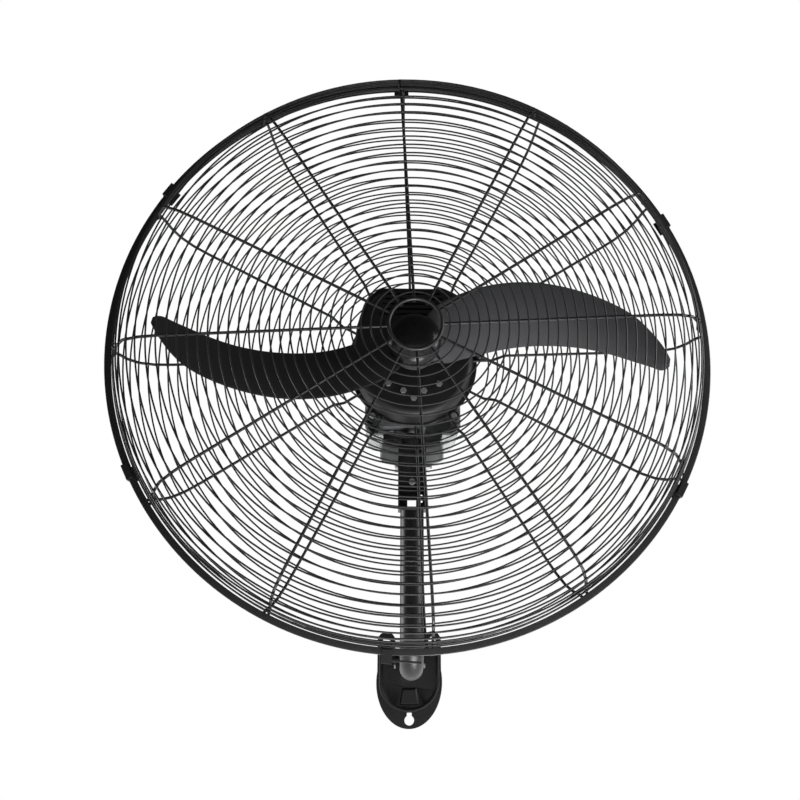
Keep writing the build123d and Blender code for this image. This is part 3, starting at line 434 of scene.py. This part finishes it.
def core_sheets():
    """Stacked steel sheets: grain stretched flat, so it reads as fine layers along Y."""
    colour, worn = (0.16, 0.16, 0.17), (0.07, 0.06, 0.06)
    return finish("core_sheets", colour, worn, (0.4, 0.6), 30, 900, 0.6, metallic=1.0,
                  stretch=(0.05, 1.4, 0.05))


def copper_wire():
    colour, worn = (0.55, 0.2, 0.08), (0.35, 0.11, 0.04)
    return finish("copper_wire", colour, worn, (0.28, 0.4), 30, 700, 0.6, metallic=0.9,
                  stretch=(1, 0.1, 1))


def soft_rubber():
    colour, worn = (0.014, 0.014, 0.014), (0.03, 0.03, 0.03)
    return finish("soft_rubber", colour, worn, (0.6, 0.75), 30, 900, 0.2)


# ---- user's values --------------------------------------------------------------------
def size_prop(name, description, default):
    return bpy.props.FloatProperty(name=name, description=description, default=default, min=0.0,
                                   unit="LENGTH", precision=5)


def colour_prop(name, description, default):
    return bpy.props.FloatVectorProperty(name=name, description=description, default=default,
                                         size=3, min=0.0, max=1.0, subtype="COLOR")


class FanSizes(bpy.types.PropertyGroup):
    """Sizes a user may change before the pieces are built."""

    hoop_r: size_prop("Hoop radius", "Outer radius of the hoop that joins the guards", 0.49985)
    hoop_half: size_prop("Hoop half width", "Half the hoop strip's width", 0.012)
    hoop_sheet: size_prop("Hoop sheet", "Thickness of the hoop's strip", 0.0016)
    hoop_front_lip: size_prop("Front lip", "Height of the hoop's inward lip in front", 0.011)
    hoop_rear_lip: size_prop("Rear lip", "Height of the hoop's inward lip behind", 0.004)
    edge_wire_r: size_prop("Edge wire", "Radius of the thick wire at each guard's edge", 0.0025)
    spoke_r: size_prop("Spoke wire", "Radius of the guards' spokes", 0.0024)
    ring_wire_r: size_prop("Ring wire", "Radius of the guards' thin rings", 0.0014)
    centre_wire_r: size_prop("Centre wire", "Radius of the wire of the middle ring", 0.003)
    ring_pitch: size_prop("Ring pitch", "Distance between rings along the spokes", 0.0156)
    centre_r: size_prop("Centre ring", "Radius of the front guard's middle ring", 0.042)
    blade_t: size_prop("Blade thickness", "Thickness of a blade at its middle", 0.0036)
    hub_r: size_prop("Hub radius", "Radius of the propeller's hub", 0.038)
    hub_bore_r: size_prop("Hub bore", "Radius of the hole that takes the hub's insert", 0.0142)
    hub_front: size_prop("Hub front", "How far the hub's front lies ahead of the hoop", 0.0147)
    hub_back: size_prop("Hub back", "How far the hub's back lies behind the hoop", 0.026)
    cap_r: size_prop("Cap radius", "Radius of the spinner cap's rim", 0.0445)
    cap_base: size_prop("Cap rim", "How far the cap's rim stands ahead of the hoop", 0.015)
    cap_height: size_prop("Cap height", "Height of the spinner cap", 0.033)


class FanColours(bpy.types.PropertyGroup):
    """Colours a user may change before the pieces are built."""

    wire: colour_prop("Wire", "Powder coat on the guards' wires", (0.022, 0.022, 0.0225))
    steel_paint: colour_prop("Steel paint", "Coat on the arm and plate", (0.005, 0.005, 0.0055))
    casting_paint: colour_prop("Casting paint", "Paint on the front cover", (0.005, 0.005, 0.0053))
    blade: colour_prop("Blade", "Plastic of the blades", (0.0012, 0.0012, 0.0013))
    cap: colour_prop("Cap", "Plastic of the spinner cap", (0.012, 0.012, 0.0125))
    rear_cover: colour_prop("Rear cover", "Plastic of the rear cover", (0.6, 0.605, 0.6))
    floor: colour_prop("Floor", "Floor and backdrop", (0.9, 0.9, 0.9))


# ---- guards ---------------------------------------------------------------------------
def ring_line(spoke, side, pitch, stand_off):
    """Ring centres: points evenly spaced along the spoke's line, moved out square to it."""
    line = np.asarray(spoke)
    step = np.diff(line, axis=0)
    run = np.hypot(*step.T)
    travelled = np.concatenate(([0], np.cumsum(run)))
    wanted = np.arange(pitch, travelled[-1], pitch)
    k = np.clip(np.searchsorted(travelled, wanted, side="left") - 1, 0, len(run) - 1)
    share = ((wanted - travelled[k]) / run[k])[:, None]
    out = np.stack((side * step[k, 1] / run[k], -side * step[k, 0] / run[k]), -1)
    return line[k] + share * step[k] + out * stand_off


def edge_radius(sizes):
    """Radius of the thick edge wires, which lie inside the hoop's strip."""
    return sizes.hoop_r - sizes.hoop_sheet - GAP - sizes.edge_wire_r


def spoke_lines(sizes):
    """Corners (r, f) of a front spoke and of a rear spoke, from under the edge wire inwards."""
    start = edge_radius(sizes) - sizes.edge_wire_r - sizes.spoke_r - TOUCH
    front = [(start, SPOKE_START), *((sizes.hoop_r - inset, f) for inset, f in FRONT_BENDS)]
    front.append((sizes.centre_r - sizes.centre_wire_r, FRONT_DEPTH))
    rear = [(start, -SPOKE_START), *((sizes.hoop_r - inset, f) for inset, f in REAR_BENDS)]
    return np.array(front), np.array(rear + list(REAR_DIP))


def guard_places(sizes):
    """Ring centres of the front guard and of the rear guard."""
    stand_off = sizes.spoke_r + sizes.ring_wire_r + TOUCH
    front, rear = spoke_lines(sizes)
    front_rings = ring_line(front, 1, sizes.ring_pitch, stand_off)
    rear_rings = ring_line(rear, -1, sizes.ring_pitch, stand_off)
    front_inner = sizes.centre_r + CENTRE_CLEAR
    return front_rings[front_rings[:, 0] > front_inner], rear_rings[rear_rings[:, 0] > EARS_OUT]


class FAN_OT_rings(bpy.types.Operator):
    """Thin rings, edge wires and the middle ring of both guards"""

    bl_idname = "fan.rings"
    bl_label = "Guard rings"

    def execute(self, context):
        s = context.scene.fan_sizes
        front, rear = guard_places(s)
        edge_r = edge_radius(s)
        centre = (s.centre_r, FRONT_DEPTH + s.spoke_r + s.centre_wire_r + TOUCH)
        edges = (edge_r, EDGE_WIRE_OUT), (edge_r, -EDGE_WIRE_OUT)
        for node, places, wire_r, sides in (
            ("front_side_rings", front[:SIDE_RINGS], s.ring_wire_r, 8),
            ("front_face_rings", front[SIDE_RINGS:], s.ring_wire_r, 8),
            ("rear_side_rings", rear[:SIDE_RINGS], s.ring_wire_r, 8),
            ("rear_face_rings", rear[SIDE_RINGS:], s.ring_wire_r, 8),
            ("edge_wires", edges, s.edge_wire_r, 12),
            ("front_centre_ring", (centre,), s.centre_wire_r, 12),
        ):
            piece = surface(node + "_wire", rings(places, wire_r, sides), close_rows=True)
            wear(piece, wire_coat(), "head", "black_wire", node)
        return {"FINISHED"}


class FAN_OT_spokes(bpy.types.Operator):
    """Bent spokes of both guards, with the weld beads where the rings cross them"""

    bl_idname = "fan.spokes"
    bl_label = "Guard spokes"

    def execute(self, context):
        s = context.scene.fan_sizes
        guards = zip(("front", "rear"), spoke_lines(s), guard_places(s), SPOKE_ROLLS)
        for side, line, places, roll in guards:
            tube = flat_tube(bend_line(line, SPOKE_BEND, 7), s.spoke_r, 12)
            wires = np.stack([at_clock(tube, angle + roll) for angle in SPOKE_ANGLES])
            piece = surface(f"{side}_spoke_wires", wires, caps=True)
            wear(piece, wire_coat(), "head", "black_wire", f"{side}_spokes")
            piece = surface(f"{side}_weld_beads", weld_beads(places, roll), merge=True)
            wear(piece, wire_coat(), "head", "black_wire")
        return {"FINISHED"}


def weld_beads(places, roll):
    """A long bead at each crossing: an ellipsoid (a cos u, b sin u cos v, b sin u sin v) set where
    the ring lies on the spoke, along the ring."""
    half_length, radius = 0.0034, 0.0019
    u = np.linspace(0, np.pi, 5)[:, None]
    v = (TAU * np.arange(6) / 6)[None, :]
    along = half_length * np.cos(u) + 0 * v
    width = radius * np.sin(u) * np.cos(v)
    deep = radius * np.sin(u) * np.sin(v)
    beads = np.stack([np.stack((r + width, f + deep, along), -1) for r, f in places])
    return np.concatenate([at_clock(beads, angle + roll) for angle in SPOKE_ANGLES])


class FAN_OT_hoop(bpy.types.Operator):
    """Strip hoop with its two inward lips"""

    bl_idname = "fan.hoop"
    bl_label = "Hoop"

    def execute(self, context):
        s = context.scene.fan_sizes
        front_r, rear_r = s.hoop_r - s.hoop_front_lip, s.hoop_r - s.hoop_rear_lip
        skins = []
        for r, half, bend in (
            (s.hoop_r, s.hoop_half, 0.0016),
            (s.hoop_r - s.hoop_sheet, s.hoop_half - s.hoop_sheet, 0.0006),
        ):
            corners = (front_r, half), (r, half), (r, -half), (rear_r, -half)
            skins.append(bend_line(corners, bend, 6))
        profile = np.concatenate((skins[0], skins[1][::-1]))
        piece = surface("hoop_strip", turned(profile, 240)[None], close_rows=True)
        wear(piece, wire_coat(), "head", "black_wire", "guard_hoop")
        return {"FINISHED"}


class FAN_OT_clips(bpy.types.Operator):
    """Clips and the latch that close the hoop"""

    bl_idname = "fan.clips"
    bl_label = "Clips and latch"

    def execute(self, context):
        for node, body, width in (
            ("hoop_clips", "head", 0.0006),
            ("latch_bracket", "head", 0.0006),
            ("latch_lever", "latch", 0.0009),
        ):
            wear(rounded_copy(node, width), wire_coat(), body, "black_wire", node)
        return {"FINISHED"}


# ---- propeller ------------------------------------------------------------------------
def blade_surface(sizes):
    """Blade skin: at each radius the section runs along the chord, q = 0 to 1 from the upper edge
    to the lower. Its middle line is raised by camber * 4q(1-q). Its thickness is t times
    edge + (1-edge) sin(pi q), and falls as 8 sqrt(q(1-q)) where that is below 1."""
    sections, columns, crowd = 110, 25, 0.9  # crowd below 1 sets the sections closer at the tip
    camber, stoutest, edge = 0.07, 0.2, 0.45  # the first two are shares of the chord
    root, tip = BLADE[0, 0], BLADE[-1, 0]
    radius = root + (tip - root) * np.linspace(0, 1, sections) ** crowd
    stations = spline(BLADE[:, 0], BLADE[:, 1:], radius)
    up, down = np.radians(stations[:, 0]), np.radians(stations[:, 2])

    def point(angle, depth):
        x, z = radius * np.cos(angle), FAN_Z + radius * np.sin(angle)
        return np.stack((x, depth + FAN_Y, z), -1)

    upper, lower = point(up, stations[:, 1]), point(down, stations[:, 3])
    chord = lower - upper
    length = np.linalg.norm(chord, axis=1)
    along = np.gradient((upper + lower) / 2, axis=0)
    face = np.cross(chord, along)
    face /= np.linalg.norm(face, axis=1, keepdims=True)
    q = 0.5 - 0.5 * np.cos(np.linspace(0, np.pi, columns))
    middle = upper[:, None] + q[None, :, None] * chord[:, None]
    rise = (camber * length)[:, None, None] * (4 * q * (1 - q))[None, :, None]
    middle = middle + face[:, None] * rise
    thick = np.minimum(sizes.blade_t, stoutest * length)[:, None] / 2
    thick = thick * (edge + (1 - edge) * np.sin(np.pi * q))[None, :]
    thick = thick * np.clip(8 * np.sqrt(q * (1 - q)), 0, 1)[None, :]
    ahead = middle + thick[..., None] * face[:, None]
    behind = middle - thick[..., None] * face[:, None]
    return np.concatenate((ahead, behind[:, -2:0:-1]), 1)


class FAN_OT_propeller(bpy.types.Operator):
    """Two sickle blades on their hub"""

    bl_idname = "fan.propeller"
    bl_label = "Propeller"

    def execute(self, context):
        s = context.scene.fan_sizes
        blade = blade_surface(s)
        other = blade.copy()
        other[..., 0] = -blade[..., 0]
        other[..., 2] = 2 * FAN_Z - blade[..., 2]
        piece = surface("blades", np.stack((blade, other)), caps=True, sharp=60)
        wear(piece, blade_plastic(), "propeller", "blade_plastic", "propeller")
        back, front = -s.hub_back, s.hub_front
        corners = ((s.hub_bore_r, back), (s.hub_r, back), (s.hub_r, front), (s.hub_bore_r, front))
        hub = bend_line(corners, HUB_BEND, 6)
        piece = surface("hub", turned(hub, 96)[None], close_rows=True)
        wear(piece, blade_plastic(), "propeller", "blade_plastic")
        return {"FINISHED"}


class FAN_OT_cap(bpy.types.Operator):
    """Spinner cap: a dome, r = R sin(t)^fullness and height H cos t, on its straight band"""

    bl_idname = "fan.cap"
    bl_label = "Spinner cap"

    def execute(self, context):
        s = context.scene.fan_sizes
        t = np.linspace(0, np.pi / 2, 24)
        band_height, groove, fullness = 0.006, 0.0005, 0.82
        band = s.cap_base + band_height
        rise = (s.cap_height - band_height) * np.cos(t)
        dome = np.stack((s.cap_r * np.sin(t) ** fullness, band + rise), -1)
        dome[0, 0] = 0.0
        groove_r = s.cap_r - groove
        rim = np.array((
            (s.cap_r, band - groove),
            (groove_r, band - 2 * groove),
            (groove_r, band - 3 * groove),
            (s.cap_r, band - 4 * groove),
            (s.cap_r, s.cap_base),
            (0.0, s.cap_base),
        ))
        skin = turned(np.concatenate((dome, rim)), 128)[None]
        piece = surface("cap_dome", skin, close_rows=True, close_columns=False, merge=True,
                        sharp=50)
        wear(piece, cap_plastic(), "propeller", "cap_plastic", "spinner_cap")
        return {"FINISHED"}


# ---- motor, neck, arm and wall plate --------------------------------------------------
class FAN_OT_motor(bpy.types.Operator):
    """Motor covers, mounting ring, screws and lead grommet"""

    bl_idname = "fan.motor"
    bl_label = "Motor"

    def execute(self, context):
        for node, width, material, slot in (
            ("motor_front_cover", 0.0008, casting_coat, "black_casting"),
            ("rear_cover", 0.001, cover_plastic, "cover_plastic"),
            ("guard_ring", 0.0006, wire_coat, "black_wire"),
            ("motor_can", 0.001, cast_alloy, "motor_casting"),
            ("front_cover_screws", 0.0005, zinc, "zinc"),
            ("guard_screws", 0.0005, zinc, "zinc"),
            ("clutch_knob", 0.0, cap_plastic, "knob_plastic"),
            ("lead_grommet", 0.0006, soft_rubber, "rubber"),
        ):
            body = "clutch" if node == "clutch_knob" else "head"
            wear(rounded_copy(node, width), material(), body, slot, node)
        return {"FINISHED"}


class FAN_OT_neck(bpy.types.Operator):
    """Neck channel, tilting block and their bolts"""

    bl_idname = "fan.neck"
    bl_label = "Neck"

    def execute(self, context):
        for node, body, width, material, slot in (
            ("neck_channel", "wall_arm", 0.0009, steel_coat, "black_steel"),
            ("neck_block", "neck", 0.0008, casting_coat, "black_casting"),
            ("tilt_bolt", "wall_arm", 0.0006, zinc, "zinc"),
            ("tilt_nut", "wall_arm", 0.0006, zinc, "zinc"),
            ("tilt_lock_screw", "neck", 0.0006, zinc, "zinc"),
        ):
            wear(rounded_copy(node, width), material(), body, slot, node)
        return {"FINISHED"}


class FAN_OT_arm(bpy.types.Operator):
    """Bent tube arm with its socket and screws"""

    bl_idname = "fan.arm"
    bl_label = "Arm"

    def execute(self, context):
        for node, width, material, slot in (
            ("arm_tube", 0.0, steel_coat, "black_steel"),
            ("arm_socket", 0.002, steel_coat, "black_steel"),
            ("socket_screws", 0.0006, zinc, "zinc"),
        ):
            wear(rounded_copy(node, width), material(), "wall_arm", slot, node)
        return {"FINISHED"}


class FAN_OT_wall_plate(bpy.types.Operator):
    """Pressed wall plate with its ears, lip and keyhole"""

    bl_idname = "fan.wall_plate"
    bl_label = "Wall plate"

    def execute(self, context):
        plate = rounded_copy("wall_plate", 0.0016, 3)
        wear(plate, steel_coat(), "wall_arm", "black_steel", "wall_plate")
        piece = surface("wall_plate_bead", lip_bead()[None], caps=True, sharp=60)
        wear(piece, steel_coat(), "wall_arm", "black_steel")
        return {"FINISHED"}


def lip_bead():
    """Rounded crest of the plate's lip: a tube along a U, two uprights x = +-a that run into the
    half ellipse (a cos t, b sin t) below the belly's middle."""
    half, drop, belly, top = 0.057, 0.053, -0.032, 0.0205
    middle_y, wire_r = -0.0131, 0.0034
    t = np.linspace(np.pi, TAU, 73)
    line = np.stack((half * np.cos(t), belly + drop * np.sin(t)), -1)
    line = np.concatenate((((-half, top),), line, ((half, top),)))
    x, z, off = np.moveaxis(flat_tube(line, wire_r, 12), -1, 0)
    return np.stack((x, middle_y + off, z), -1)


class FAN_OT_inside(bpy.types.Operator):
    """Finishes on the motor's, gearbox's and crank's own solids, which stay as they are"""

    bl_idname = "fan.inside"
    bl_label = "Inside pieces"

    def execute(self, context):
        for make, names in (
            (cast_alloy, "rear_shield gearbox_housing gearbox_lid"),
            (ground_steel, "pivot_stud front_bearing rear_bearing crank motor_shaft worm"),
            (ground_steel, "hub_insert"),
            (bronze, "neck_bush thrust_washer shaft_bush worm_wheel"),
            (core_sheets, "stator_core rotor_core"),
            (copper_wire, "stator_winding"),
            (cap_plastic, "run_capacitor"),
            (zinc, "lid_screws"),
        ):
            for node in names.split():
                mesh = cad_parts[node].data
                for index in range(len(mesh.materials)):
                    mesh.materials[index] = make()
        return {"FINISHED"}


# ---- stage ----------------------------------------------------------------------------
def any_of(tree, outputs):
    """A socket that is 1 where one of the outputs is."""
    socket = outputs[0]
    for output in outputs[1:]:
        seen = tree.nodes.new("ShaderNodeMath")
        seen.operation = "MAXIMUM"
        tree.links.new(socket, seen.inputs[0])
        tree.links.new(output, seen.inputs[1])
        socket = seen.outputs[0]
    return socket


def pale_floor(colour):
    """Floor material that camera, glossy and transmission rays see as plain white."""
    material = bpy.data.materials.new("pale_floor")
    material.use_nodes = True
    tree = material.node_tree
    nodes, links = tree.nodes, tree.links
    shader = nodes["Principled BSDF"]
    shader.inputs["Base Color"].default_value = (*colour, 1)
    shader.inputs["Roughness"].default_value = 0.9
    white = nodes.new("ShaderNodeEmission")
    white.inputs["Strength"].default_value = 1.0
    rays = nodes.new("ShaderNodeLightPath").outputs
    mix = nodes.new("ShaderNodeMixShader")
    kinds = "Is Camera Ray", "Is Glossy Ray", "Is Transmission Ray"
    seen = any_of(tree, [rays[kind] for kind in kinds])
    links.new(seen, mix.inputs["Fac"])
    links.new(shader.outputs["BSDF"], mix.inputs[1])
    links.new(white.outputs["Emission"], mix.inputs[2])
    links.new(mix.outputs["Shader"], nodes["Material Output"].inputs["Surface"])
    return material


def studio_world():
    """World that lights at AMBIENT and that camera and transmission rays see as white."""
    world = bpy.data.worlds.new("studio")
    world.use_nodes = True
    tree = world.node_tree
    back = tree.nodes["Background"]
    rays = tree.nodes.new("ShaderNodeLightPath").outputs
    strength = tree.nodes.new("ShaderNodeMapRange")
    strength.inputs["To Min"].default_value = AMBIENT
    strength.inputs["To Max"].default_value = 1.0
    seen = any_of(tree, [rays["Is Camera Ray"], rays["Is Transmission Ray"]])
    tree.links.new(seen, strength.inputs["Value"])
    tree.links.new(strength.outputs["Result"], back.inputs["Strength"])
    back.inputs["Color"].default_value = (1, 1, 1, 1)
    return world


class FAN_OT_stage(bpy.types.Operator):
    """Pale floor, soft studio light and the camera"""

    bl_idname = "fan.stage"
    bl_label = "Stage"

    def execute(self, context):
        scene = context.scene
        ends = -FLOOR_HALF, FLOOR_HALF
        corners = np.array([[[[x, y, FLOOR_Z] for x in ends] for y in ends]])
        floor = surface("floor", corners, close_columns=False)
        floor.data.materials.append(pale_floor(scene.fan_colours.floor))
        scene.world = studio_world()

        for name, place, aim, power, size, spread in LAMPS:
            lamp = bpy.data.lights.new(name, "AREA")
            lamp.energy = power
            lamp.size = size
            lamp.spread = radians(spread)
            item = bpy.data.objects.new(name, lamp)
            scene.collection.objects.link(item)
            item.location = place
            item.rotation_euler = look(place, aim)

        scene.view_settings.view_transform = "Standard"
        place_camera(scene)
        return {"FINISHED"}


def look(place, aim):
    """Euler turn that points an object's -Z from place to aim."""
    return (Vector(aim) - Vector(place)).to_track_quat("-Z", "Y").to_euler()


def place_camera(scene):
    """The photograph's camera: it looks up at the fan, along d = (sin yaw cos pitch,
    cos yaw cos pitch, sin pitch), with right r and up r x d turned about d by the roll."""
    yaw, pitch, roll = radians(CAMERA_YAW), radians(CAMERA_PITCH), radians(CAMERA_ROLL)
    ahead = Vector((sin(yaw) * cos(pitch), cos(yaw) * cos(pitch), sin(pitch)))
    right = Vector((cos(yaw), -sin(yaw), 0))
    up = right.cross(ahead)
    right, up = right * cos(roll) + up * sin(roll), up * cos(roll) - right * sin(roll)
    lens = bpy.data.cameras.new("camera")
    lens.sensor_width = SENSOR
    lens.lens = CAMERA_LENS
    lens.shift_x, lens.shift_y = CAMERA_SHIFT
    camera = bpy.data.objects.new("camera", lens)
    scene.collection.objects.link(camera)
    turn = Matrix((right, up, -ahead)).transposed()
    camera.matrix_world = Matrix.Translation(CAMERA_PLACE) @ turn.to_4x4()
    scene.camera = camera


class FAN_PT_panel(bpy.types.Panel):
    """Lists the fan's sizes, colours and pieces"""

    bl_idname = "FAN_PT_panel"
    bl_label = "Wall mounted fan"
    bl_space_type = "VIEW_3D"
    bl_region_type = "UI"
    bl_category = "Fan"

    def draw(self, context):
        for group in (context.scene.fan_sizes, context.scene.fan_colours):
            box = self.layout.box()
            for name in group.__annotations__:
                box.prop(group, name)
        for operator in PIECES:
            self.layout.operator(operator.bl_idname)


PIECES = (
    FAN_OT_rings,
    FAN_OT_spokes,
    FAN_OT_hoop,
    FAN_OT_clips,
    FAN_OT_propeller,
    FAN_OT_cap,
    FAN_OT_motor,
    FAN_OT_neck,
    FAN_OT_arm,
    FAN_OT_wall_plate,
    FAN_OT_inside,
    FAN_OT_stage,
)
CLASSES = (FanSizes, FanColours, *PIECES, FAN_PT_panel)


def register():
    for item in CLASSES:
        bpy.utils.register_class(item)
    bpy.types.Scene.fan_sizes = bpy.props.PointerProperty(type=FanSizes)
    bpy.types.Scene.fan_colours = bpy.props.PointerProperty(type=FanColours)


def unregister():
    del bpy.types.Scene.fan_sizes
    del bpy.types.Scene.fan_colours
    for item in reversed(CLASSES):
        bpy.utils.unregister_class(item)


def main():
    register()
    for operator in PIECES:
        getattr(bpy.ops.fan, operator.bl_idname.split(".")[1])()


if __name__ == "__main__":
    main()
